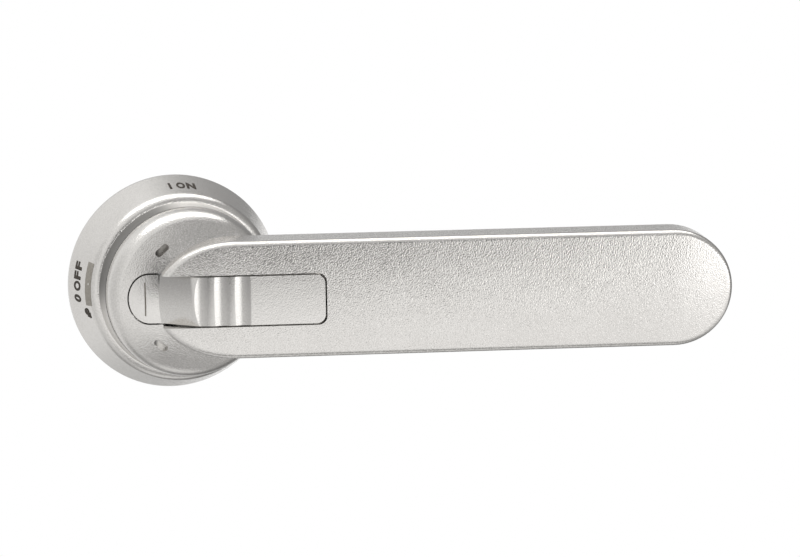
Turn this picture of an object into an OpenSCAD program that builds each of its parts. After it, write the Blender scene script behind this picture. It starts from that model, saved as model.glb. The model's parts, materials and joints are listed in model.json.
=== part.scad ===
// Rotary switch handle for a cabinet door: round escutcheon, turning lever with a flush padlock tongue.
// Built with x along the lever, y across it and z out of the door, then stood up by upright().

/* [Escutcheon] */
// radius of the escutcheon at the door
base_r = 37.7; // [34:0.1:45]
// height of the escutcheon's front edge above the door
base_h = 16.7; // [15:0.1:19]
// height of the straight rim under the cone
rim_h = 1.2; // [0.8:0.1:2]
// slope of the conical side from the door's normal
cone_slope = 19.45; // [14:0.05:22]
// radius of the rounded shoulder
shoulder_r = 3.7; // [2:0.1:3.9]
// thickness of the floor behind the hub
floor_t = 7; // [6.5:0.1:8]
// radius of the circle of the door screws
screw_pcd_r = 25.5; // [24:0.1:26.5]
// core radius of the door screw thread
door_thread_r = 1.65; // [1.4:0.05:1.8]

/* [Hub] */
// radius of the turning hub
hub_r = 29.25; // [27:0.25:29.5]
// height of the top of the hub's dome
dome_h = 37.3; // [36:0.1:39]
// radius of the sphere of the dome
dome_r = 60; // [50:1:80]
// rounding between the hub's wall and dome
hub_round = 6; // [3:0.5:7]
// gap between hub and escutcheon
hub_gap = 0.35; // [0.3:0.05:0.6]
// depth of the two oval recesses in the dome
recess_d = 2.2; // [1:0.1:3]

/* [Lever] */
// reach of the lever from the shaft to its tip, along the lever
lever_reach = 180.8; // [150:0.1:210]
// half of the width of the lever
lever_half_w = 20.15; // [18:0.1:22]
// thickness of the lever
lever_t = 18; // [17:0.5:21]
// height of the lever's face above the door, at the shaft
face_h = 46.6; // [45:0.1:48]
// how far the lever leans out from the door
lever_tilt = 12.6; // [10:0.1:14]
// rounding along the front edge of the lever
front_round = 2; // [1:0.1:3]
// rounding along the back edge of the lever
back_round = 4; // [3:0.5:6]
// height of the crown across the lever's face
crown = 0.7; // [0.3:0.1:1]
// place along the lever where its oval root begins
root_u = 10.4; // [9:0.1:11]
// length of the oval root against half of the lever's width
root_stretch = 1.37; // [1.3:0.01:1.4]

/* [Padlock tongue] */
// half of the width of the tongue
tongue_half_w = 8.35; // [7.5:0.05:9]
// gap round the tongue
tongue_gap = 0.55; // [0.4:0.05:0.8]
// place of the tongue's far end along the lever
tongue_end = 39.5; // [37:0.1:41]
// place where the tongue's oval hub end begins
tongue_root = -16.4; // [-17:0.1:-15]
// length of the tongue's oval hub end against half of its width
tongue_oval = 0.82; // [0.7:0.01:1]
// place of the pivot pin along the lever
pivot_x = -12; // [-13:0.1:-11]
// height of the pivot pin above the door
pivot_z = 32.4; // [32:0.1:33]
// radius of the pivot pin
pivot_r = 1.25; // [1:0.05:1.5]
// pitch of the thumb ridges
ridge_pitch = 7.05; // [6:0.05:7.5]
// radius of the grooves between the thumb ridges
groove_r = 5.5; // [4:0.1:7]
// depth of these grooves
groove_d = 0.7; // [0.4:0.05:1.1]
// thickness of the padlock web
web_t = 5; // [4:0.5:6]

/* [Lock bolt] */
// distance of the lock bolt from the shaft
bolt_x = 19; // [18.5:0.1:19.5]
// radius of the lock bolt
bolt_r = 2.5; // [2:0.1:2.8]
// radius of the bolt's round head
bolt_head_r = 3.5; // [3.2:0.1:3.7]

/* [Drive] */
// side of the square of the switch shaft
shaft_square = 10; // [8:0.5:11]
// radius of the journal of the drive sleeve
journal_r = 10; // [9.5:0.1:10.4]
// clearance of the journal in its bush
journal_gap = 0.05; // [0.02:0.01:0.1]
// radius of the stop pin's path
stop_path_r = 20; // [19.5:0.1:20.2]
// radius of the stop pin
stop_r = 1.5; // [1.2:0.1:1.7]

/* [Hidden] */
$fn = 96;

bore_r = hub_r + hub_gap;
hub_foot = floor_t + 0.5;
cavity_top = 18;
boss_h = 14;
bush_r = journal_r + 1.6;
boss_r = bush_r + 2;
recess_r = boss_r;
recess_h = 4.2;
bush_flange = 1;
flange_z = boss_h + bush_flange + 0.3;
flange_t = cavity_top - flange_z;
tip_u = lever_reach - lever_half_w;
tilt_slope = tan(lever_tilt);
crown_half = lever_half_w - front_round;
crown_r = (crown_half * crown_half + crown * crown) / (2 * crown);
dome_c = dome_h - dome_r;
pocket_floor = 21.6;
bolt_foot = floor_t + 0.6;
bolt_head_z = pivot_z - 8.5;
bolt_drop = 5.34;
guide_z = hub_foot + 2;
spring_z = 13;
notch_r = bolt_r + 0.5;
bolt_boss_r = 6.6;
guide_r = bolt_r + 1.3;
seal_r = 0.78;
catch_r = recess_r - 0.4;
pole_r = 2;
web_end = tongue_end - 2.2;
ramp_foot = -13.5;
ramp_top = -4.3;
ramp_r = 31;
ramp_z = dome_z(-ramp_foot);
ramp_run = (ramp_top - ramp_foot) / (face_z(ramp_top) - ramp_z);
cover_u0 = 62;
cover_u1 = tip_u - 1;
cover_half_w = lever_half_w - back_round - 1.3;
cover_t = 2.4;
gasket_t = 0.8;
cavity_half_w = cover_half_w - 1.6;
cover_screw_u = [cover_u0 - 8, cover_u1 + 8];
screw_angles = [45, 135, 225, 315];
silver = [0.80, 0.79, 0.77];
steel = [0.62, 0.63, 0.64];
rubber = [0.10, 0.10, 0.11];
brass = [0.78, 0.66, 0.36];

module upright() {
    rotate([90, 0, 0]) children();
}

// turns a drawing of (x, z) into a slab across the lever
module across(half) {
    rotate([90, 0, 0]) linear_extrude(2 * half, center = true) children();
}

module lever_frame() {
    translate([0, 0, face_h]) rotate([0, -lever_tilt, 0]) children();
}

function dome_z(r) = dome_c + sqrt(dome_r * dome_r - r * r);
function face_z(x) = face_h + x * tilt_slope;

module lever_section() {
    t = lever_t;
    w = lever_half_w;
    translate([-w, back_round - t]) square([2 * w, t - back_round - front_round]);
    translate([front_round - w, -front_round - 1]) square([2 * (w - front_round), front_round + 1]);
    translate([back_round - w, -t]) square([2 * (w - back_round), back_round + 1]);
    for (s = [-1, 1]) {
        translate([s * (w - front_round), -front_round]) circle(front_round);
        translate([s * (w - back_round), back_round - t]) circle(back_round);
    }
    intersection() {
        translate([0, crown - crown_r]) circle(crown_r, $fn = 360);
        translate([front_round - w, -1]) square([2 * (w - front_round), 1 + 2 * crown]);
    }
}

// a half-round end of the lever, from the radius inner outwards
module lever_end(inner) {
    rotate([0, 0, -90]) rotate_extrude(angle = 180) intersection() {
        lever_section();
        translate([inner, -2 * lever_t]) square([2 * lever_half_w, 3 * lever_t]);
    }
}

// the crown over the middle of the lever's tip
module tip_middle() {
    intersection() {
        translate([0, 0, crown - crown_r]) rotate([90, 0, 0]) sphere(crown_r, $fn = 360);
        translate([0, 0, -lever_t]) cylinder(h = lever_t + 2 * crown, r = pole_r);
        translate([0, -pole_r, -lever_t]) cube([pole_r, 2 * pole_r, lever_t + 2 * crown]);
    }
}

// the lever as a bar with a round tip and an oval root
module lever_bar() {
    lever_frame() {
        translate([root_u, 0, 0]) rotate([90, 0, 90]) linear_extrude(tip_u - root_u) lever_section();
        translate([root_u, 0, 0]) scale([root_stretch, 1, 1]) rotate([0, 0, 180]) lever_end(0);
        translate([tip_u, 0, 0]) {
            lever_end(pole_r);
            tip_middle();
        }
    }
}

module hub_solid() {
    fr = hub_r - hub_round;
    fz = dome_c + sqrt((dome_r - hub_round) * (dome_r - hub_round) - fr * fr);
    k = dome_r / (dome_r - hub_round);
    rotate_extrude() {
        intersection() {
            translate([0, dome_c]) circle(dome_r, $fn = 360);
            polygon([[0, hub_foot], [hub_r, hub_foot], [hub_r, fz], [fr, fz],
                [fr * k * 1.05, dome_c + (fz - dome_c) * k * 1.05], [0, dome_h + 9]]);
        }
        translate([fr, fz]) circle(hub_round);
    }
}

// gusset that carries the lever out from the hub
module neck() {
    across(lever_half_w - back_round) polygon([[6, 24], [hub_r * 0.83, 24], [hub_r * 0.83, 26],
        [70, face_z(70) - lever_t / cos(lever_tilt) + 0.6], [70, face_z(70) - 8], [6, face_z(6) - 8]]);
}

module tongue_outline(grow) {
    w = tongue_half_w + grow;
    round_end = 3;
    translate([tongue_root, 0]) scale([tongue_oval, 1]) circle(w);
    translate([tongue_root, -w]) square([tongue_end + grow - round_end - tongue_root, 2 * w]);
    translate([tongue_root, round_end - w])
        square([tongue_end + grow - tongue_root, 2 * (w - round_end)]);
    for (s = [-1, 1]) {
        translate([tongue_end + grow - round_end, s * (w - round_end)]) circle(round_end);
    }
}

module tongue_side(drop) {
    polygon([[-30, pivot_z - 4.7 - drop], [pivot_x - 2.6, pivot_z - 4.7 - drop],
        [pivot_x, pivot_z - 3.2 - drop], [pivot_x + 3, pivot_z - 2 - drop], [2, face_z(2) - 5.6 - drop],
        [tongue_end + 4, face_z(tongue_end + 4) - 5.6 - drop], [tongue_end + 4, 80], [-30, 80]]);
}

module web_side(grow) {
    polygon([[pivot_x + 2, pivot_z - 1.4 - grow], [4, face_z(4) - 14 - grow],
        [web_end + grow, face_z(web_end) - 19 - grow], [web_end + grow, face_z(web_end)],
        [2, face_z(2) - 1], [pivot_x + 2, pivot_z + 3]]);
}

// room in the casting for the tongue, its web and its swing
module tongue_room() {
    intersection() {
        linear_extrude(100) tongue_outline(tongue_gap);
        across(30) tongue_side(0.7);
    }
    intersection() {
        translate([0, 0, pocket_floor]) linear_extrude(30) tongue_outline(tongue_gap);
        translate([-40, -30, 0]) cube([40 + pivot_x + 4.2, 60, pivot_z + 4]);
    }
    across(web_t / 2 + 0.6) web_side(0.8);
}

module slot_recess(x, y, a, l, w) {
    translate([x, y, dome_z(norm([x, y])) - recess_d]) rotate([0, 0, a]) {
        translate([-(l - w) / 2, -w / 2, 0]) cube([l - w, w, 6]);
        for (s = [-1, 1]) translate([s * (l - w) / 2, 0, 0]) cylinder(h = 6, r = w / 2, $fn = 32);
    }
}

module cover_outline(half) {
    translate([cover_u0, 0]) circle(half);
    translate([cover_u1, 0]) circle(half);
    translate([cover_u0, -half]) square([cover_u1 - cover_u0, 2 * half]);
}

module cover_holes(r, h) {
    for (u = cover_screw_u) translate([u, 0, -1]) cylinder(h = h + 1, r = r, $fn = 48);
}

// places things on the back of the lever, z into the lever
module lever_back() {
    lever_frame() translate([0, 0, -lever_t]) children();
}

module base() {
    nr = cos(cone_slope);
    nz = sin(cone_slope);
    cz = base_h - shoulder_r;
    cr = base_r - (shoulder_r + (cz - rim_h) * nz) / nr;
    color(silver) upright() difference() {
        union() {
            rotate_extrude() {
                polygon([[0, 0], [base_r, 0], [base_r, rim_h], [cr + shoulder_r * nr, cz + shoulder_r * nz],
                    [cr, cz], [cr, base_h], [bore_r - 3, base_h], [bore_r - 3, floor_t], [0, floor_t]]);
                translate([cr, cz]) circle(shoulder_r);
            }
            cylinder(h = boss_h, r = boss_r);
        }
        translate([0, 0, floor_t]) difference() {
            cylinder(h = 40, r = bore_r);
            translate([0, 0, -1]) cylinder(h = boss_h - floor_t + 1, r = boss_r);
        }
        translate([0, 0, -1]) cylinder(h = 40, r = bush_r);
        translate([0, 0, -1]) cylinder(h = recess_h + 1, r = recess_r);
        difference() {
            translate([0, 0, -1]) cylinder(h = 2.2, r = base_r - 1.2);
            translate([0, 0, -2]) cylinder(h = 5, r = base_r - 3.8);
        }
        for (a = screw_angles) rotate([0, 0, a]) translate([screw_pcd_r, 0, -1]) cylinder(h = 7.2, r = 3);
        for (a = [90, 180]) rotate([0, 0, a]) translate([bolt_x, 0, 1.8]) cylinder(h = 20, r = notch_r);
        rotate([0, 0, -47]) rotate_extrude(angle = 94) translate([stop_path_r - stop_r - 0.4, floor_t - 2.6])
            square([2 * stop_r + 0.8, 10]);
        for (a = [-47, 47]) rotate([0, 0, a]) translate([stop_path_r, 0, floor_t - 2.6])
            cylinder(h = 10, r = stop_r + 0.4);
        for (a = [-20, -110]) rotate([0, 0, a])
            rotate_extrude(angle = 40) translate([24, -1]) square([7, 4.6]);
    }
}

module door_gasket() {
    color(rubber) upright() difference() {
        cylinder(h = 1.2, r = base_r - 1.2);
        translate([0, 0, -1]) cylinder(h = 5, r = base_r - 3.8);
    }
}

module door_inserts() {
    color(brass) upright() for (a = screw_angles) rotate([0, 0, a]) translate([screw_pcd_r, 0, 0])
        difference() {
            cylinder(h = 6.2, r = 3, $fn = 48);
            translate([0, 0, -1]) cylinder(h = 10, r = door_thread_r, $fn = 48);
        }
}

module bearing_bush() {
    color(brass) upright() difference() {
        union() {
            translate([0, 0, recess_h]) cylinder(h = boss_h - recess_h, r = bush_r);
            translate([0, 0, boss_h]) cylinder(h = bush_flange, r = boss_r - 0.5);
        }
        cylinder(h = 40, r = journal_r + journal_gap);
    }
}

module thrust_washer() {
    color(steel) upright() translate([0, 0, recess_h - 0.9]) difference() {
        cylinder(h = 0.9, r = recess_r - 0.5);
        translate([0, 0, -1]) cylinder(h = 5, r = journal_r + 0.4);
    }
}

module drive_sleeve() {
    color(steel) upright() difference() {
        union() {
            translate([0, 0, 3]) cylinder(h = flange_z - 3 + 1, r = journal_r);
            translate([0, 0, flange_z]) cylinder(h = flange_t, r = 15.5);
            translate([0, 0, flange_z]) cylinder(h = flange_t + 5, r = 8.4);
        }
        translate([-shaft_square / 2, -shaft_square / 2, -1]) cube([shaft_square, shaft_square, 22]);
        translate([-bolt_x, 0, 0]) cylinder(h = 40, r = bolt_boss_r + 0.5);
        for (a = screw_angles) rotate([0, 0, a]) translate([12.2, 0, flange_z]) {
            translate([0, 0, -0.01]) cylinder(h = 1.51, r1 = 3.3, r2 = 1.8, $fn = 48);
            cylinder(h = 10, r = 1.8, $fn = 48);
        }
        for (a = [0, 90, 180, 270]) rotate([0, 0, a])
            translate([7.6, 0, -1]) cylinder(h = 10, r = 1.25, $fn = 48);
    }
}

module sleeve_screws() {
    color(steel) upright() for (a = screw_angles)
        rotate([0, 0, a]) translate([12.2, 0, flange_z]) difference() {
        union() {
            translate([0, 0, 0.05]) cylinder(h = 1.4, r1 = 3.15, r2 = 1.75, $fn = 48);
            translate([0, 0, 0.05]) cylinder(h = 7.4, r = 1.75, $fn = 48);
        }
        translate([0, 0, -1]) cylinder(h = 2, r = 1, $fn = 6);
    }
}

module catch_plate() {
    color(steel) upright() difference() {
        translate([0, 0, 1.5]) cylinder(h = 1.5, r = catch_r);
        translate([-shaft_square / 2 - 0.2, -shaft_square / 2 - 0.2, -1])
            cube([shaft_square + 0.4, shaft_square + 0.4, 10]);
        rotate([0, 0, 45]) translate([0, -1.6, -1]) cube([20, 3.2, 10]);
        for (a = [0, 90, 180, 270]) rotate([0, 0, a])
            translate([7.6, 0, -1]) cylinder(h = 10, r = 1.4, $fn = 48);
    }
}

module catch_screws() {
    color(steel) upright() for (a = [0, 90, 180, 270]) rotate([0, 0, a]) translate([7.6, 0, 0]) difference() {
        union() {
            translate([0, 0, 0.3]) cylinder(h = 1.2, r = 2.1, $fn = 48);
            translate([0, 0, 0.3]) cylinder(h = 7.5, r = 1.25, $fn = 48);
        }
        translate([0, 0, -1]) cylinder(h = 2, r = 0.9, $fn = 6);
    }
}

module handle_skin() {
    hub_solid();
    lever_bar();
    neck();
}

module handle() {
    color(silver) upright() difference() {
        union() {
            difference() {
                handle_skin();
                translate([0, 0, -1]) cylinder(h = cavity_top + 1, r = hub_r - 3.4);
                for (s = [-1, 1]) intersection() {
                    translate([0, 0, 10]) cylinder(h = 16.5, r = hub_r - 3.4);
                    translate([-30, s * 20.5 - 6.5, 0]) cube([60, 13, 40]);
                }
            }
            translate([-bolt_x, 0, guide_z]) cylinder(h = 12, r = bolt_boss_r);
            rotate([0, 0, 45]) translate([stop_path_r, 0, 9]) cylinder(h = 10, r = 4);
        }
        tongue_room();
        translate([pivot_x, 0, pivot_z]) rotate([90, 0, 0])
            cylinder(h = 25, r = pivot_r, center = true, $fn = 48);
        translate([-bolt_x, 0, guide_z - 1]) cylinder(h = spring_z - guide_z + 1, r = guide_r);
        translate([0, 0, -1]) cylinder(h = flange_z + 1, r = boss_r + 0.5);
        translate([-bolt_x, 0, guide_z]) cylinder(h = 20, r = bolt_head_r + 0.15);
        translate([0, 0, cavity_top - 1]) cylinder(h = 6.4, r = 8.4);
        for (a = screw_angles) rotate([0, 0, a]) translate([12.2, 0, cavity_top - 1])
            cylinder(h = 7, r = 1.75, $fn = 48);
        rotate([0, 0, 45]) translate([stop_path_r, 0, 0]) cylinder(h = 16, r = stop_r, $fn = 48);
        translate([0, 0, hub_foot + 3]) rotate_extrude() translate([hub_r, 0])
            square([4 * seal_r + 0.1, 2 * seal_r + 0.4], center = true);
        for (s = [-1, 1]) slot_recess(-12.1 + s * 0.6, s * 16.4, s * 40, 5.4, 2.3);
        lever_back() {
            translate([0, 0, -1]) linear_extrude(cover_t + gasket_t + 1) cover_outline(cover_half_w + 0.2);
            difference() {
                linear_extrude(lever_t - 4) cover_outline(cavity_half_w);
                for (u = cover_screw_u) translate([u, 0, 0]) cylinder(h = 30, r = 5);
            }
            cover_holes(1.65, 12);
        }
    }
}

module hub_seal() {
    color(rubber) upright() translate([0, 0, hub_foot + 3]) rotate_extrude()
        translate([hub_r - seal_r + 0.03, 0]) circle(seal_r, $fn = 32);
}

module stop_pin() {
    color(steel) upright() rotate([0, 0, 45]) translate([stop_path_r, 0, floor_t - 2.2])
        cylinder(h = 16 - floor_t + 2.2, r = stop_r, $fn = 48);
}

module bolt_guide() {
    color(brass) upright() translate([-bolt_x, 0, guide_z]) difference() {
        cylinder(h = spring_z - guide_z, r = guide_r);
        translate([0, 0, -1]) cylinder(h = 20, r = bolt_r + 0.06);
    }
}

module grip_cover() {
    color(silver) upright() lever_back() difference() {
        linear_extrude(cover_t) cover_outline(cover_half_w);
        cover_holes(1.8, cover_t + gasket_t + 1);
        for (u = cover_screw_u) translate([u, 0, -0.01]) cylinder(h = 1.61, r1 = 3.5, r2 = 1.9, $fn = 48);
    }
}

module cover_gasket() {
    color(rubber) upright() lever_back() translate([0, 0, cover_t]) difference() {
        linear_extrude(gasket_t) cover_outline(cover_half_w);
        cover_holes(1.8, cover_t + gasket_t + 1);
        translate([0, 0, -1]) linear_extrude(10) difference() {
            cover_outline(cavity_half_w);
            for (u = cover_screw_u) translate([u, 0]) circle(5);
        }
    }
}

module cover_screws() {
    color(steel) upright() lever_back() for (u = cover_screw_u) translate([u, 0, 0]) difference() {
        union() {
            cylinder(h = 1.6, r1 = 3.4, r2 = 1.8, $fn = 48);
            cylinder(h = 10, r = 1.6, $fn = 48);
        }
        translate([0, 0, -1]) cylinder(h = 2, r = 1.1, $fn = 6);
    }
}

module lock_tongue() {
    color(silver) upright() difference() {
        union() {
            intersection() {
                linear_extrude(100) tongue_outline(0);
                across(30) tongue_side(0);
                union() {
                    hub_solid();
                    difference() {
                        lever_bar();
                        difference() {
                            translate([-40, -20, ramp_z - 1]) cube([42, 40, 40]);
                            translate([ramp_foot + ramp_r, 0, ramp_z - 1])
                                cylinder(h = 16, r1 = ramp_r + ramp_run, r2 = ramp_r - 15 * ramp_run);
                        }
                    }
                    translate([pivot_x - 4, -tongue_half_w, pivot_z - 4]) cube([8, 2 * tongue_half_w, 5.8]);
                }
            }
            intersection() {
                across(web_t / 2) web_side(0);
                lever_bar();
            }
        }
        translate([pivot_x, 0, pivot_z]) rotate([90, 0, 0])
            cylinder(h = 40, r = pivot_r + 0.06, center = true, $fn = 48);
        for (i = [0 : 2]) lever_frame()
            translate([ramp_top + 2.8 + i * ridge_pitch, 0, groove_r - groove_d + crown])
                rotate([90, 0, 0]) cylinder(h = 40, r = groove_r, center = true);
        translate([-18.2, -5.8, dome_z(18.2) - 0.5]) cube([0.5, 11.6, 3]);
        across(10) {
            translate([20, face_z(20) - 10.5]) circle(4.2, $fn = 48);
            translate([web_end - 6.4, face_z(web_end - 6.4) - 10.5]) circle(4.2, $fn = 48);
            polygon([[20, face_z(20) - 6.3], [web_end - 6.4, face_z(web_end - 6.4) - 6.3],
                [web_end - 6.4, face_z(web_end - 6.4) - 14.7], [20, face_z(20) - 14.7]]);
        }
    }
}

module tongue_pin() {
    color(steel) upright() translate([pivot_x, 0, pivot_z]) rotate([90, 0, 0])
        cylinder(h = 25, r = pivot_r, center = true, $fn = 48);
}

module lock_bolt() {
    color(steel) upright() translate([-bolt_x, 0, 0]) {
        translate([0, 0, bolt_foot]) cylinder(h = bolt_head_z - bolt_foot, r = bolt_r);
        translate([0, 0, bolt_head_z - 2.2]) cylinder(h = 2.2, r = bolt_head_r);
        translate([0, 0, bolt_head_z]) sphere(bolt_head_r);
    }
}

module bolt_spring() {
    wire = 0.3;
    turns = 4;
    color(steel) upright() translate([-bolt_x, 0, spring_z + wire])
        linear_extrude(bolt_head_z - 2.2 - spring_z - 2 * wire, twist = -360 * turns,
            slices = 20 * turns, $fn = 8)
            translate([bolt_r + wire + 0.18, 0]) circle(wire, $fn = 8);
}

base();
door_gasket();
door_inserts();
bearing_bush();
thrust_washer();
drive_sleeve();
sleeve_screws();
catch_plate();
catch_screws();
handle();
hub_seal();
stop_pin();
bolt_guide();
grip_cover();
cover_gasket();
cover_screws();
lock_tongue();
tongue_pin();
lock_bolt();
bolt_spring();
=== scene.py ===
import json
import math

import bpy
from mathutils import Matrix, Vector


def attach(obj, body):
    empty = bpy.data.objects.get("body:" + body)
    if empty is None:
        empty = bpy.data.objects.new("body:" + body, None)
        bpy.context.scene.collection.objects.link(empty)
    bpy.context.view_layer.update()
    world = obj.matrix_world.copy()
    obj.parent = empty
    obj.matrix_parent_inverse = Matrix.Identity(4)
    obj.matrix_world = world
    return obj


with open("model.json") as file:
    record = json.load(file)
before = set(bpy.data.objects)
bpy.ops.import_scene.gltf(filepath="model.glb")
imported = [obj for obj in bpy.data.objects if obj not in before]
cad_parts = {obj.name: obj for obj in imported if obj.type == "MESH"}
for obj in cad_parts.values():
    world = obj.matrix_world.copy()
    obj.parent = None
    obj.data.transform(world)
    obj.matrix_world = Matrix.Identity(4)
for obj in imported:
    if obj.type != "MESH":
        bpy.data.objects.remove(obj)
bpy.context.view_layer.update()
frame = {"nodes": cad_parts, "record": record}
scene = bpy.context.scene
nodes = frame["nodes"]
MM = 0.001

# Sizes of the part that the pieces here lie on, in millimetres
RIM_R, RIM_H = 37.7, 1.2
TOP_H, SHOULDER_R = 16.7, 3.7
CONE_SLOPE = math.radians(19.45)
HUB_R = 29.25
DOME_R, DOME_H = 60.0, 37.3
RECESS_D = 2.2
RAMP_FOOT_X, RAMP_TOP_X = -13.5, -4.3
GROOVE_X, GROOVE_PITCH, GROOVE_END_X = 0.2, 6.88, 14.9
SLIT_X, SLIT_H = -17.95, 34.04

# Centre of the escutcheon's round shoulder, and the length of the cone up to it
ROUND_H = TOP_H - SHOULDER_R
ROUND_R = RIM_R - (SHOULDER_R + (ROUND_H - RIM_H) * math.sin(CONE_SLOPE)) / math.cos(CONE_SLOPE)
SLANT = (ROUND_H + SHOULDER_R * math.sin(CONE_SLOPE) - RIM_H) / math.cos(CONE_SLOPE)

# Markings: gap under a mark, its thickness, and how far the bar's top is scaled out from its bottom
MARK_GAP, MARK_T = 0.03, 0.03
BAR_SWELL, BAR_SWELL_H = 1.0008, 12.0
LETTER_BOLD, LETTER_LIFT = 0.31, 0.1
CAP_SHARE = 0.69
DOT_R, DOT_T, DOT_BEVEL = 0.34, 0.04, 0.012
PADLOCK_RING_R, PADLOCK_RING_WIRE_R = 1.0, 0.6
PADLOCK_RING_SCALE, PADLOCK_RING_PLACE = (0.8, 0.95, 0.08), (0.6, 0.5, 0.0)
PADLOCK_BLOCK_SIZE, PADLOCK_BLOCK_PLACE = (2.0, 2.2, 2 * MARK_T), (-0.5, -0.4, 0.0)
PADLOCK_LEAN = 0.2

# Skins in the corner ring, and sheets of painted shade in the recesses and the slit
FILLET_R, FILLET_STRETCH = 1.0, 6.4
HUB_GAP, FACE_LIFT, LIP_LIFT = 0.05, 0.03, 0.02
FILLET_STEPS, LIP_STEPS, RING_STEPS = 10, 4, 240
LIP_END = math.radians(94.5)
SMOOTH_ANGLE = math.radians(35)
RECESS_END_R, RECESS_HALF_L, SKIN_T = 1.12, 1.55, 0.1
SLIT_SIZE, SLIT_BEVEL = (0.46, 0.12, 11.5), 0.02

# Distance under which points are merged, in metres
MERGE = 1e-6

# Grain of the blasted metal: dents and slow clouds per metre, and the share of the dents in the tone
DENT_SCALE, CLOUD_SCALE, DENT_SHARE = 2600.0, 60.0, 0.7

# Painted shade on the tongue: share of tone lost in the grooves, lost more on their upper side, and on the
# ramp
GROOVE_SHADE, UPPER_SHADE, RAMP_SHADE = 0.34, 0.2, 0.46
UPPER_Z, UPPER_SOFT = 1.0, 8.0

# Sockets of a Mix node that mixes colours
MIX_SHARE, MIX_A, MIX_B, MIX_OUT = 0, 6, 7, 2


# Helpers for selecting and editing
def deselect():
    if bpy.context.object and bpy.context.object.mode != "OBJECT":
        bpy.ops.object.mode_set(mode="OBJECT")
    bpy.ops.object.select_all(action="DESELECT")


def make_active(obj):
    deselect()
    obj.select_set(True)
    bpy.context.view_layer.objects.active = obj


def edit_all(obj):
    """Opens a piece for editing with all of it selected."""
    make_active(obj)
    bpy.ops.object.mode_set(mode="EDIT")
    bpy.ops.mesh.select_all(action="SELECT")


def end_edit():
    bpy.ops.object.mode_set(mode="OBJECT")


def select_side(obj, axis, sign):
    """Selects, in edit mode, the points on one side of the middle plane across an axis."""
    bpy.ops.mesh.select_all(action="DESELECT")
    end_edit()
    for point in obj.data.vertices:
        point.select = point.co[axis] * sign > 0
    bpy.ops.object.mode_set(mode="EDIT")


def apply_place(obj):
    """Moves an object's place, turn and scale into its mesh."""
    make_active(obj)
    bpy.ops.object.transform_apply(location=True, rotation=True, scale=True)


def apply_modifier(obj, kind, **settings):
    make_active(obj)
    modifier = obj.modifiers.new(kind.title(), kind)
    for key, value in settings.items():
        setattr(modifier, key, value)
    bpy.ops.object.modifier_apply(modifier=modifier.name)


def finish_piece(obj, name, mat, body):
    """Closes the mesh, turns its faces outward, and gives the piece its name, finish and body."""
    edit_all(obj)
    bpy.ops.mesh.remove_doubles(threshold=MERGE)
    bpy.ops.mesh.normals_make_consistent(inside=False)
    end_edit()
    obj.name = name
    obj.data.materials.clear()
    obj.data.materials.append(mat)
    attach(obj, body)


# Helpers for materials
def node_material(name):
    mat = bpy.data.materials.new(name)
    mat.use_nodes = True
    tree = mat.node_tree
    return mat, tree, tree.nodes["Principled BSDF"]


def add(tree, kind, **values):
    """Adds a node and sets its options and its inputs, an input's name written with _ for a space."""
    node = tree.nodes.new(kind)
    for key, value in values.items():
        if hasattr(node, key):
            setattr(node, key, value)
        else:
            node.inputs[key.replace("_", " ")].default_value = value
    return node


def object_place(tree):
    return add(tree, "ShaderNodeTexCoord").outputs["Object"]


def place_axes(tree, place):
    """The X, Y and Z of a place or a direction."""
    axes = add(tree, "ShaderNodeSeparateXYZ")
    tree.links.new(place, axes.inputs["Vector"])
    return axes.outputs


def sum_of(tree, kind, *values):
    """A Math node, its inputs given in order as numbers or sockets."""
    node = add(tree, "ShaderNodeMath", operation=kind)
    for socket, value in zip(node.inputs, values):
        if isinstance(value, (int, float)):
            socket.default_value = value
        else:
            tree.links.new(value, socket)
    return node.outputs[0]


def smooth_step(tree, along, low, high, start=0.0, end=1.0):
    """Goes softly from start to end while a socket goes from low to high."""
    step = add(tree, "ShaderNodeMapRange", interpolation_type="SMOOTHSTEP",
               From_Min=low, From_Max=high, To_Min=start, To_Max=end)
    tree.links.new(along, step.inputs["Value"])
    return step.outputs["Result"]


def grain_noise(tree, scale, detail, roughness=0.5):
    noise = add(tree, "ShaderNodeTexNoise", Scale=scale, Detail=detail, Roughness=roughness)
    tree.links.new(object_place(tree), noise.inputs["Vector"])
    return noise.outputs["Fac"]


def set_colour(tree, shader, share, dark, pale, low=0.0, high=1.0):
    """Base colour from dark to pale while a share goes from low to high."""
    ramp = add(tree, "ShaderNodeValToRGB")
    for mark, place, tint in zip(ramp.color_ramp.elements, (low, high), (dark, pale)):
        mark.position = place
        mark.color = (*tint, 1)
    tree.links.new(share, ramp.inputs["Fac"])
    tree.links.new(ramp.outputs["Color"], shader.inputs["Base Color"])


def set_relief(tree, shader, height, strength, depth):
    bump = add(tree, "ShaderNodeBump", Strength=strength, Distance=depth * MM)
    tree.links.new(height, bump.inputs["Height"])
    tree.links.new(bump.outputs["Normal"], shader.inputs["Normal"])


def times(tree, a, b):
    """The product of two colours."""
    both = add(tree, "ShaderNodeMix", data_type="RGBA", blend_type="MULTIPLY")
    both.inputs[MIX_SHARE].default_value = 1.0
    tree.links.new(a, both.inputs[MIX_A])
    tree.links.new(b, both.inputs[MIX_B])
    return both.outputs[MIX_OUT]


def blend(tree, share, a, b):
    """A colour that goes from a to b with a share."""
    both = add(tree, "ShaderNodeMix", data_type="RGBA")
    tree.links.new(share, both.inputs[MIX_SHARE])
    tree.links.new(a, both.inputs[MIX_A])
    tree.links.new(b, both.inputs[MIX_B])
    return both.outputs[MIX_OUT]


def darken(mat, left):
    """Multiplies a metal's colour by the share that a mask leaves of it."""
    tree = mat.node_tree
    colour = tree.nodes["Principled BSDF"].inputs["Base Color"]
    clean = colour.links[0].from_socket
    tree.links.new(times(tree, clean, left), colour)


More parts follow.
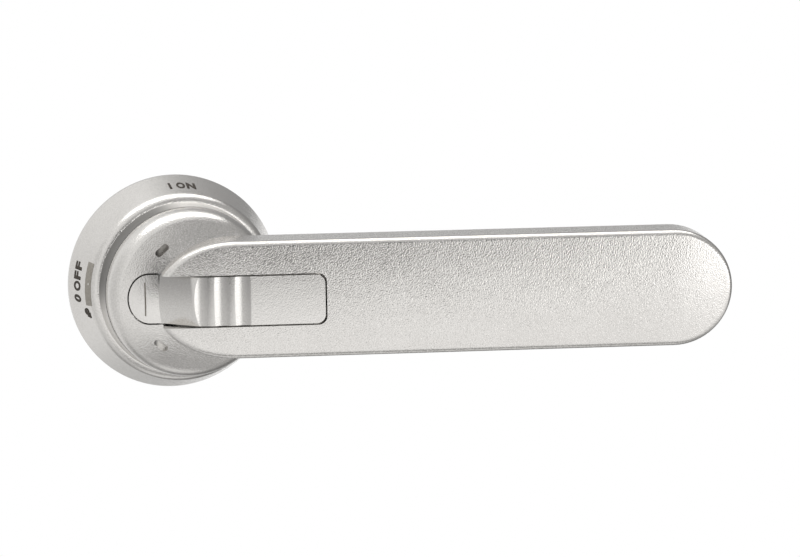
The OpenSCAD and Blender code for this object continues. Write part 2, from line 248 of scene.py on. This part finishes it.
# Finishes
def blasted_metal(name, pale, dark, rough, grain):
    """Bead-blasted casting: small dents in colour, gloss and relief over slow cloudy variation."""
    mat, tree, shader = node_material(name)
    dents = grain_noise(tree, DENT_SCALE, 0.4, 0.55)
    clouds = grain_noise(tree, CLOUD_SCALE, 3.0)
    cloud_part = sum_of(tree, "MULTIPLY", clouds, 1.0 - DENT_SHARE)
    both = sum_of(tree, "MULTIPLY_ADD", dents, DENT_SHARE, cloud_part)
    set_colour(tree, shader, both, dark, pale, 0.34, 0.62)
    gloss = add(tree, "ShaderNodeMapRange", From_Min=0.3, From_Max=0.7,
                To_Min=rough - 0.04, To_Max=rough + 0.06)
    tree.links.new(both, gloss.inputs["Value"])
    tree.links.new(gloss.outputs["Result"], shader.inputs["Roughness"])
    set_relief(tree, shader, dents, 1.0, grain)
    shader.inputs["Metallic"].default_value = 1.0
    return mat


def paint_shade_along(mat, way, low, high, depth):
    """Painted shade: darkens a metal softly from low to high, in millimetres along a direction."""
    tree = mat.node_tree
    along = add(tree, "ShaderNodeVectorMath", operation="DOT_PRODUCT")
    along.inputs[1].default_value = way
    tree.links.new(object_place(tree), along.inputs[0])
    darken(mat, smooth_step(tree, along.outputs["Value"], low * MM, high * MM, 1.0, 1.0 - depth))


def thumb_painted_shade(mat):
    """Painted shade in the tongue's ramp and its three thumb grooves, darker on their upper side."""
    tree = mat.node_tree
    axes = place_axes(tree, object_place(tree))

    def past(axis, place, soft):
        return smooth_step(tree, axes[axis], (place - soft) * MM, (place + soft) * MM)

    def product(a, b):
        return sum_of(tree, "MULTIPLY", a, b)

    def rest_of(share):
        return sum_of(tree, "SUBTRACT", 1.0, share)

    upper = past("Z", UPPER_Z, UPPER_SOFT)
    past_foot = past("X", RAMP_FOOT_X, 0.2)
    past_ramp = past("X", RAMP_TOP_X, 0.4)
    before_end = rest_of(past("X", GROOVE_END_X, 0.3))
    turns = sum_of(tree, "MULTIPLY_ADD", axes["X"], math.tau / (GROOVE_PITCH * MM),
                   -math.tau * GROOVE_X / GROOVE_PITCH)
    wave = sum_of(tree, "MULTIPLY_ADD", sum_of(tree, "COSINE", turns), 0.5, 0.5)
    in_grooves = product(product(past_ramp, before_end), wave)
    on_ramp = product(past_foot, rest_of(past_ramp))
    groove_depth = product(in_grooves, sum_of(tree, "MULTIPLY_ADD", upper, UPPER_SHADE, GROOVE_SHADE))
    ramp_depth = product(on_ramp, product(upper, RAMP_SHADE))
    darken(mat, rest_of(sum_of(tree, "ADD", groove_depth, ramp_depth)))


def turned_metal(name, pale, dark, rough):
    """Machined piece: faint rings of the lathe tool round the shaft axis."""
    mat, tree, shader = node_material(name)
    rings = add(tree, "ShaderNodeTexWave", wave_type="RINGS", rings_direction="Y",
                Scale=900.0, Distortion=1.5, Detail=2.0)
    tree.links.new(object_place(tree), rings.inputs["Vector"])
    set_colour(tree, shader, rings.outputs["Fac"], dark, pale)
    set_relief(tree, shader, rings.outputs["Fac"], 0.15, 0.05)
    shader.inputs["Metallic"].default_value = 1.0
    shader.inputs["Roughness"].default_value = rough
    return mat


def seal_rubber(name):
    """Black sealing rubber with a faint grey bloom."""
    mat, tree, shader = node_material(name)
    bloom = grain_noise(tree, 700.0, 4.0)
    set_colour(tree, shader, bloom, (0.012, 0.012, 0.013), (0.035, 0.035, 0.037))
    set_relief(tree, shader, bloom, 0.3, 0.1)
    shader.inputs["Roughness"].default_value = 0.62
    return mat


def burnt_mark(name, dark, pale):
    """Laser-burnt marking: brown oxide, uneven where the beam's lines meet."""
    mat, tree, shader = node_material(name)
    set_colour(tree, shader, grain_noise(tree, 1500.0, 3.0), dark, pale, 0.35, 0.7)
    shader.inputs["Metallic"].default_value = 0.2
    shader.inputs["Roughness"].default_value = 0.7
    return mat


casting = blasted_metal("blasted_casting", (0.80, 0.78, 0.752), (0.70, 0.68, 0.652), 0.18, 0.062)
tongue_metal = blasted_metal("tongue_casting", (0.82, 0.80, 0.772), (0.74, 0.72, 0.692), 0.2, 0.036)
# Painted shade darkens the tongue's ramp and thumb grooves, more on their upper side
thumb_painted_shade(tongue_metal)
# Corner ring's metal, darkened on the ring's upper left side by painted shade
groove_shaded_metal = blasted_metal("groove_painted_shade", (0.84, 0.82, 0.79), (0.74, 0.72, 0.69), 0.62, 0.06)
paint_shade_along(groove_shaded_metal, (-0.79, 0.0, 0.61), 17.0, 26.5, 0.66)
# Painted shade for the recess floors: a dark copy for the upper recess, a paler copy for the lower, each
# darker at its left end
dark_recess_shade = blasted_metal("shaded_hollow", (0.36, 0.345, 0.325), (0.24, 0.23, 0.215), 0.45, 0.06)
paint_shade_along(dark_recess_shade, (-1.0, 0.0, 0.0), 11.3, 13.2, 0.75)
pale_recess_shade = blasted_metal("pale_recess_shade", (0.66, 0.64, 0.61), (0.5, 0.485, 0.46), 0.4, 0.06)
paint_shade_along(pale_recess_shade, (-1.0, 0.0, 0.0), 12.9, 14.3, 0.75)
steel = turned_metal("turned_steel", (0.62, 0.62, 0.62), (0.50, 0.50, 0.50), 0.32)
bronze = turned_metal("turned_bronze", (0.72, 0.52, 0.25), (0.58, 0.40, 0.18), 0.34)
rubber = seal_rubber("seal_rubber")
mark_dark = burnt_mark("burnt_letters", (0.040, 0.033, 0.026), (0.075, 0.062, 0.049))
# Burnt marking of the lock bar, also used as painted shade on the floor of the tongue's slit
bar_mark_and_slit_shade = burnt_mark("burnt_bar_and_slit_shade", (0.29, 0.27, 0.235), (0.38, 0.355, 0.315))

# Finishes of the part's own pieces, by their slots
finish_of = {"casting": casting, "steel": steel, "brass": bronze, "seal": rubber}
slot_of = {s["node"]: s["material_slot"] for s in frame["record"]["subparts"]}
for name, obj in nodes.items():
    obj.data.materials.clear()
    obj.data.materials.append(finish_of[slot_of[name]])
nodes["lock_tongue"].data.materials[0] = tongue_metal


# Markings on the cone
def on_escutcheon(angle, slant, lift):
    """A point at a distance up the cone from its rim, and on over the round shoulder."""
    tilt = CONE_SLOPE + max(0.0, slant - SLANT) / SHOULDER_R
    if slant < SLANT:
        radius = RIM_R - slant * math.sin(CONE_SLOPE)
        height = RIM_H + slant * math.cos(CONE_SLOPE)
    else:
        radius = ROUND_R + SHOULDER_R * math.cos(tilt)
        height = ROUND_H + SHOULDER_R * math.sin(tilt)
    radius += lift * math.cos(tilt)
    height += lift * math.sin(tilt)
    turn = math.radians(angle)
    return Vector((radius * math.cos(turn), -height, radius * math.sin(turn))) * MM


def seat(obj, place, across, outward):
    """Seats a piece drawn flat in millimetres, with its x along across and its z outward."""
    lie = Matrix((across, outward.cross(across), outward)).transposed().to_4x4()
    obj.matrix_world = Matrix.Translation(place) @ lie @ Matrix.Scale(MM, 4)
    apply_place(obj)


def seat_on_cone(obj, angle, slant, lift):
    """Seats a flat piece so that its x runs clockwise round the cone and its y out to the rim."""
    turn = math.radians(angle)
    across = Vector((math.sin(turn), 0, -math.cos(turn)))
    ray = Vector((math.cos(turn), 0, math.sin(turn)))
    outward = ray * math.cos(CONE_SLOPE) - Vector((0, math.sin(CONE_SLOPE), 0))
    seat(obj, on_escutcheon(angle, slant, lift), across, outward)


def letter(name, char, angle, slant, width, cap, lean):
    """One burnt letter, drawn flat to its width and cap height, then wrapped on the cone."""
    deselect()
    bpy.ops.object.text_add(location=(0, 0, 0))
    text = bpy.context.object.data
    text.body = char
    text.size = cap / CAP_SHARE
    text.offset = LETTER_BOLD
    text.shear = lean
    text.resolution_u = 6
    bpy.ops.object.convert(target="MESH")
    obj = bpy.context.object
    low, high = Vector(obj.bound_box[0]), Vector(obj.bound_box[6])
    size = high - low
    edit_all(obj)
    bpy.ops.mesh.subdivide(number_cuts=1)
    bpy.ops.transform.translate(value=-(low + high) / 2)
    bpy.ops.transform.resize(value=(width / size.x, cap / size.y, 1), center_override=(0, 0, 0))
    end_edit()
    seat_on_cone(obj, angle, slant, LETTER_LIFT)
    apply_modifier(obj, "SHRINKWRAP", target=nodes["base"], wrap_mode="ABOVE_SURFACE",
                   offset=MARK_GAP * MM)
    apply_modifier(obj, "SOLIDIFY", thickness=MARK_T * MM, offset=1.0)
    finish_piece(obj, name, mark_dark, "escutcheon")


def lock_bar(name, first_angle, last_angle, low, high):
    """The burnt bar that the lock's position is read against, over the top of the cone."""
    deselect()
    bpy.ops.mesh.primitive_grid_add(x_subdivisions=48, y_subdivisions=10, size=1.0)
    obj = bpy.context.object
    for point in obj.data.vertices:
        angle = first_angle + (last_angle - first_angle) * (point.co.x + 0.5)
        point.co = on_escutcheon(angle, low + (high - low) * (point.co.y + 0.5), MARK_GAP)
    edit_all(obj)
    bpy.ops.mesh.extrude_region_move()
    bpy.ops.transform.resize(value=(BAR_SWELL,) * 3, center_override=(0, -BAR_SWELL_H * MM, 0))
    end_edit()
    finish_piece(obj, name, bar_mark_and_slit_shade, "escutcheon")


def bar_dot(name, angle, slant):
    """The small bare spot in the middle of the bar."""
    deselect()
    bpy.ops.mesh.primitive_cylinder_add(vertices=20, radius=DOT_R, depth=DOT_T)
    obj = bpy.context.object
    edit_all(obj)
    bpy.ops.mesh.bevel(offset=DOT_BEVEL, segments=2)
    end_edit()
    seat_on_cone(obj, angle, slant, MARK_GAP + 2 * MARK_T)
    finish_piece(obj, name, casting, "escutcheon")


def padlock_ring():
    deselect()
    bpy.ops.mesh.primitive_torus_add(
        major_radius=PADLOCK_RING_R, minor_radius=PADLOCK_RING_WIRE_R, major_segments=28, minor_segments=8)
    ring = bpy.context.object
    edit_all(ring)
    bpy.ops.transform.resize(value=PADLOCK_RING_SCALE, center_override=(0, 0, 0))
    bpy.ops.transform.translate(value=PADLOCK_RING_PLACE)
    end_edit()
    return ring


def padlock_block():
    deselect()
    bpy.ops.mesh.primitive_cube_add(size=1.0)
    block = bpy.context.object
    edit_all(block)
    bpy.ops.mesh.subdivide(number_cuts=3)
    bpy.ops.transform.resize(value=PADLOCK_BLOCK_SIZE, center_override=(0, 0, 0))
    for sign in (-1, 1):
        select_side(block, 1, sign)
        bpy.ops.transform.translate(value=(PADLOCK_LEAN * sign, 0, 0))
    bpy.ops.mesh.select_all(action="SELECT")
    bpy.ops.transform.translate(value=PADLOCK_BLOCK_PLACE)
    end_edit()
    return block


def padlock_sign(name, angle, slant):
    """A small plain padlock: a ring over a leaning block."""
    ring = padlock_ring()
    block = padlock_block()
    ring.select_set(True)
    bpy.ops.object.join()
    seat_on_cone(block, angle, slant, MARK_GAP + MARK_T)
    finish_piece(block, name, mark_dark, "escutcheon")


# Name, letter, angle round the cone, distance up it, width, cap height and lean
LETTERS = (
    ("mark_on_1", "I", 93.9, 8.25, 0.80, 4.4, 0.0),
    ("mark_on_2", "O", 87.7, 8.3, 3.05, 4.4, 0.0),
    ("mark_on_3", "N", 81.6, 8.35, 3.3, 4.4, 0.0),
    ("mark_off_1", "0", 184.6, 5.85, 2.7, 4.3, 0.16),
    ("mark_off_2", "O", 177.6, 5.85, 3.5, 4.3, 0.0),
    ("mark_off_3", "F", 171.7, 5.65, 2.9, 4.2, 0.0),
    ("mark_off_4", "F", 166.3, 5.65, 2.9, 4.2, 0.0),
)
for row in LETTERS:
    letter(*row)
lock_bar("mark_lock_bar", 162.0, 187.9, 11.05, 14.7)
bar_dot("mark_bar_dot", 174.8, 13.2)
padlock_sign("mark_padlock", 192.8, 11.2)


# Skin in the casting's corner, and sheets of painted shade in its hollows
def fillet_profile():
    """Radius and height of the corner ring's points: down its hollow face, then inward along the lip."""
    ball_r = HUB_R + HUB_GAP + FILLET_R
    ball_h = ROUND_H + math.sqrt((SHOULDER_R + FILLET_R) ** 2 - (ball_r - ROUND_R) ** 2)
    touch = math.atan2(ball_h - ROUND_H, ball_r - ROUND_R)
    foot = ball_h - FILLET_R * math.sin(touch)
    profile = []
    for step in range(FILLET_STEPS + 1):
        turn = touch * step / FILLET_STEPS
        rise = ball_h - FILLET_R * math.sin(turn) - foot
        profile.append((ball_r - FILLET_R * math.cos(turn), foot + FACE_LIFT + rise * FILLET_STRETCH))
    for step in range(1, LIP_STEPS + 1):
        turn = touch + (LIP_END - touch) * step / LIP_STEPS
        lip_h = ROUND_H + LIP_LIFT + SHOULDER_R * math.sin(turn)
        profile.append((ROUND_R + SHOULDER_R * math.cos(turn), lip_h))
    return profile


def groove_fillet(name):
    """Closed ring in the corner of lip and hub: hollow on top, lying on the lip below."""
    profile = fillet_profile()
    deselect()
    bpy.ops.mesh.primitive_circle_add(vertices=len(profile), radius=1.0)
    obj = bpy.context.object
    for point, (radius, height) in zip(obj.data.vertices, profile):
        point.co = Vector((radius, -height, 0)) * MM
    edit_all(obj)
    bpy.ops.mesh.spin(steps=RING_STEPS, angle=math.tau, center=(0, 0, 0), axis=(0, 1, 0))
    end_edit()
    # The ring's finish carries painted shade on its upper left side
    finish_piece(obj, name, groove_shaded_metal, "escutcheon")
    bpy.ops.object.shade_smooth_by_angle(angle=SMOOTH_ANGLE)


def recess_shade_sheet(name, x, z, angle, mat):
    """Rough sheet of painted shade on the floor of one of the two oval recesses in the dome."""
    deselect()
    bpy.ops.mesh.primitive_cylinder_add(vertices=48, radius=RECESS_END_R, depth=SKIN_T)
    obj = bpy.context.object
    edit_all(obj)
    for sign in (-1, 1):
        select_side(obj, 0, sign)
        bpy.ops.transform.translate(value=(RECESS_HALF_L * sign, 0, 0))
    end_edit()
    floor_h = DOME_H - DOME_R + math.sqrt(DOME_R ** 2 - x * x - z * z) - RECESS_D
    turn = math.radians(angle)
    across = Vector((math.cos(turn), 0, math.sin(turn)))
    seat(obj, Vector((x, -floor_h - SKIN_T / 2, z)) * MM, across, Vector((0, -1, 0)))
    finish_piece(obj, name, mat, "lever")


def slit_shade_sheet(name):
    """Dark sheet of painted shade on the floor of the thin cross slit in the hub end of the tongue."""
    deselect()
    bpy.ops.mesh.primitive_cube_add(size=MM, location=(SLIT_X * MM, -SLIT_H * MM, 0))
    obj = bpy.context.object
    edit_all(obj)
    bpy.ops.transform.resize(value=SLIT_SIZE, center_override=obj.location)
    bpy.ops.mesh.bevel(offset=SLIT_BEVEL * MM, segments=1)
    end_edit()
    apply_place(obj)
    finish_piece(obj, name, bar_mark_and_slit_shade, "tongue")


groove_fillet("groove_fillet")
recess_shade_sheet("recess_floor_upper", -11.5, 16.4, 40, dark_recess_shade)
recess_shade_sheet("recess_floor_lower", -12.7, -16.4, -40, pale_recess_shade)
slit_shade_sheet("slit_shade_sheet")

# White backdrop with soft edges, in metres
BACKDROP_PLACE = (0.38, 0.9, -0.19)
BACKDROP_W, BACKDROP_H = 1.06, 0.58
SIDE_FADE, TOP_FADE = 0.07, 0.035


def soft_edge(tree, along, size, width):
    """1 over the middle of the backdrop, fading to 0 at its edges along one axis."""
    away = sum_of(tree, "ABSOLUTE", along)
    return smooth_step(tree, away, size / 2 - width, size / 2, 1.0, 0.0)


def mix_shaders(tree, share, a, b):
    mix = add(tree, "ShaderNodeMixShader")
    tree.links.new(share, mix.inputs["Fac"])
    tree.links.new(a, mix.inputs[1])
    tree.links.new(b, mix.inputs[2])
    return mix.outputs["Shader"]


def backdrop_white():
    """White where it is seen or mirrored, pale grey to other light, and clear towards the edges."""
    mat, tree, shader = node_material("backdrop_white")
    shader.inputs["Base Color"].default_value = (0.85, 0.85, 0.85, 1)
    shader.inputs["Roughness"].default_value = 0.9
    glow = add(tree, "ShaderNodeEmission", Strength=1.0)
    rays = add(tree, "ShaderNodeLightPath").outputs
    mirrored = sum_of(tree, "MAXIMUM", rays["Is Camera Ray"], rays["Is Glossy Ray"])
    seen = sum_of(tree, "MAXIMUM", mirrored, rays["Is Transmission Ray"])
    white = mix_shaders(tree, seen, shader.outputs["BSDF"], glow.outputs["Emission"])
    axes = place_axes(tree, object_place(tree))
    across = soft_edge(tree, axes["X"], BACKDROP_W, SIDE_FADE)
    upright = soft_edge(tree, axes["Z"], BACKDROP_H, TOP_FADE)
    cover = sum_of(tree, "MULTIPLY", across, upright)
    clear = add(tree, "ShaderNodeBsdfTransparent")
    fading = mix_shaders(tree, cover, clear.outputs["BSDF"], white)
    tree.links.new(fading, tree.nodes["Material Output"].inputs["Surface"])
    return mat


deselect()
bpy.ops.mesh.primitive_plane_add(size=1.0, location=BACKDROP_PLACE, rotation=(math.radians(90), 0, 0))
bpy.ops.transform.resize(value=(BACKDROP_W, 1.0, BACKDROP_H))
bpy.ops.object.transform_apply(location=False, rotation=True, scale=True)
backdrop = bpy.context.object
backdrop.name = "backdrop"
backdrop.data.materials.append(backdrop_white())

# Brightness of the room: stops along one axis of a direction, from -1 to 1
AHEAD = (
    (-1.0, 0.8), (-0.97, 0.74), (-0.94, 0.45), (-0.82, 0.37), (-0.65, 0.58), (-0.5, 0.92), (-0.35, 1.04),
    (-0.24, 1.0), (-0.17, 0.88), (-0.11, 0.58), (-0.05, 0.12), (0.0, 0.04), (0.14, 0.04), (0.25, 0.28),
    (0.4, 0.54), (0.62, 0.7), (0.78, 0.84), (0.9, 1.15), (1.0, 1.5),
)
AHEAD_LEFT = (
    (-1.0, 0.85), (-0.9, 0.65), (-0.6, 0.75), (-0.3, 0.88), (0.5, 0.85), (0.8, 0.95), (1.0, 1.5),
)
AHEAD_RIGHT = (
    (-1.0, 0.85), (-0.97, 0.8), (-0.94, 0.48), (-0.82, 0.4), (-0.65, 0.6), (-0.5, 0.9), (-0.3, 0.96),
    (-0.17, 1.18), (-0.05, 2.1), (0.08, 2.1), (0.18, 1.1), (0.28, 0.58), (0.45, 0.42), (0.7, 0.45),
    (0.88, 1.0), (1.0, 1.5),
)
FAR_RIGHT = ((-1.0, 0.4), (0.0, 0.28), (1.0, 0.45))
REAR = (
    (-1.0, 1.0), (-0.97, 0.82), (-0.93, 0.46), (-0.8, 0.4), (-0.6, 0.92), (0.5, 0.95), (0.8, 1.05),
    (1.0, 2.2),
)
REAR_SIDES = (
    (-1.0, 0.9), (-0.8, 0.9), (-0.3, 0.85), (0.0, 0.72), (0.2, 0.55), (0.45, 0.42), (0.7, 0.32),
    (1.0, 0.25),
)
LEFT_EDGE = ((-1.0, 0.8), (-0.88, 0.85), (-0.7, 1.0))

# Shares of the room's parts, along an axis in the same way
TO_LEFT = ((-0.5, 1.0), (-0.22, 0.0))
TO_RIGHT = ((-0.12, 0.0), (0.08, 1.0))
TO_FAR_RIGHT = ((0.78, 0.0), (0.93, 1.0))
TO_REAR = ((-0.15, 0.0), (0.3, 1.0))


def tone_ramp(tree, along, stops):
    """Grey tone along one axis of a direction, from stops of place and tone."""
    shift = add(tree, "ShaderNodeMapRange", From_Min=-1.0, From_Max=1.0)
    tree.links.new(along, shift.inputs["Value"])
    ramp = add(tree, "ShaderNodeValToRGB")
    marks = ramp.color_ramp.elements
    while len(marks) < len(stops):
        marks.new(0.5)
    for mark, (place, tone) in zip(marks, stops):
        mark.position = (place + 1) / 2
        mark.color = (tone, tone, tone, 1)
    tree.links.new(shift.outputs["Result"], ramp.inputs["Fac"])
    return ramp.outputs["Color"]


def studio_room():
    """Room of soft light and dark fields that the metal mirrors."""
    world = bpy.data.worlds.new("studio")
    scene.world = world
    world.use_nodes = True
    tree = world.node_tree
    axes = place_axes(tree, add(tree, "ShaderNodeTexCoord").outputs["Generated"])

    def tone(axis, stops):
        return tone_ramp(tree, axes[axis], stops)

    front = blend(tree, tone("X", TO_LEFT), tone("Z", AHEAD), tone("Z", AHEAD_LEFT))
    front = blend(tree, tone("X", TO_RIGHT), front, tone("Z", AHEAD_RIGHT))
    front = blend(tree, tone("X", TO_FAR_RIGHT), front, tone("Z", FAR_RIGHT))
    rear = times(tree, tone("Z", REAR), tone("X", REAR_SIDES))
    room = blend(tree, tone("Y", TO_REAR), front, rear)
    sky = tree.nodes["Background"]
    tree.links.new(times(tree, room, tone("X", LEFT_EDGE)), sky.inputs["Color"])
    sky.inputs["Strength"].default_value = 1.0


def top_panel():
    """Long soft light straight above the handle."""
    light = bpy.data.lights.new("top_panel", "AREA")
    light.shape = "RECTANGLE"
    light.size, light.size_y = 1.3, 0.5
    light.energy = 2.6
    obj = bpy.data.objects.new("top_panel", light)
    scene.collection.objects.link(obj)
    place, aim = Vector((0.06, -0.05, 0.9)), Vector((0.06, -0.05, 0))
    obj.location = place
    obj.rotation_euler = (aim - place).to_track_quat("-Z", "Y").to_euler()


studio_room()
top_panel()

# Camera of the photograph: its turn, rise and roll, its distance in metres, and its lens in pixels
TURN, RISE, ROLL = math.radians(-17.82), math.radians(9.6), math.radians(-0.75)
DISTANCE = 1.0
AIM = Vector((77.65, -20.0, -1.16)) * MM
PHOTO_W_PX, LENS_PX = 800.0, 2819.2
SENSOR_W = 36.0


def photo_camera():
    back = Vector((math.sin(TURN) * math.cos(RISE), -math.cos(TURN) * math.cos(RISE), math.sin(RISE)))
    level = Vector((math.cos(TURN), math.sin(TURN), 0))
    upright = back.cross(level)
    right = level * math.cos(ROLL) + upright * math.sin(ROLL)
    up = upright * math.cos(ROLL) - level * math.sin(ROLL)
    lens = bpy.data.cameras.new("photo_camera")
    lens.sensor_width = SENSOR_W
    lens.lens = LENS_PX / PHOTO_W_PX * SENSOR_W
    lens.clip_start = 0.05
    camera = bpy.data.objects.new("photo_camera", lens)
    scene.collection.objects.link(camera)
    facing = Matrix((right, up, back)).transposed().to_4x4()
    camera.matrix_world = Matrix.Translation(AIM + back * DISTANCE) @ facing
    scene.camera = camera


photo_camera()
scene.view_settings.view_transform = "Standard"
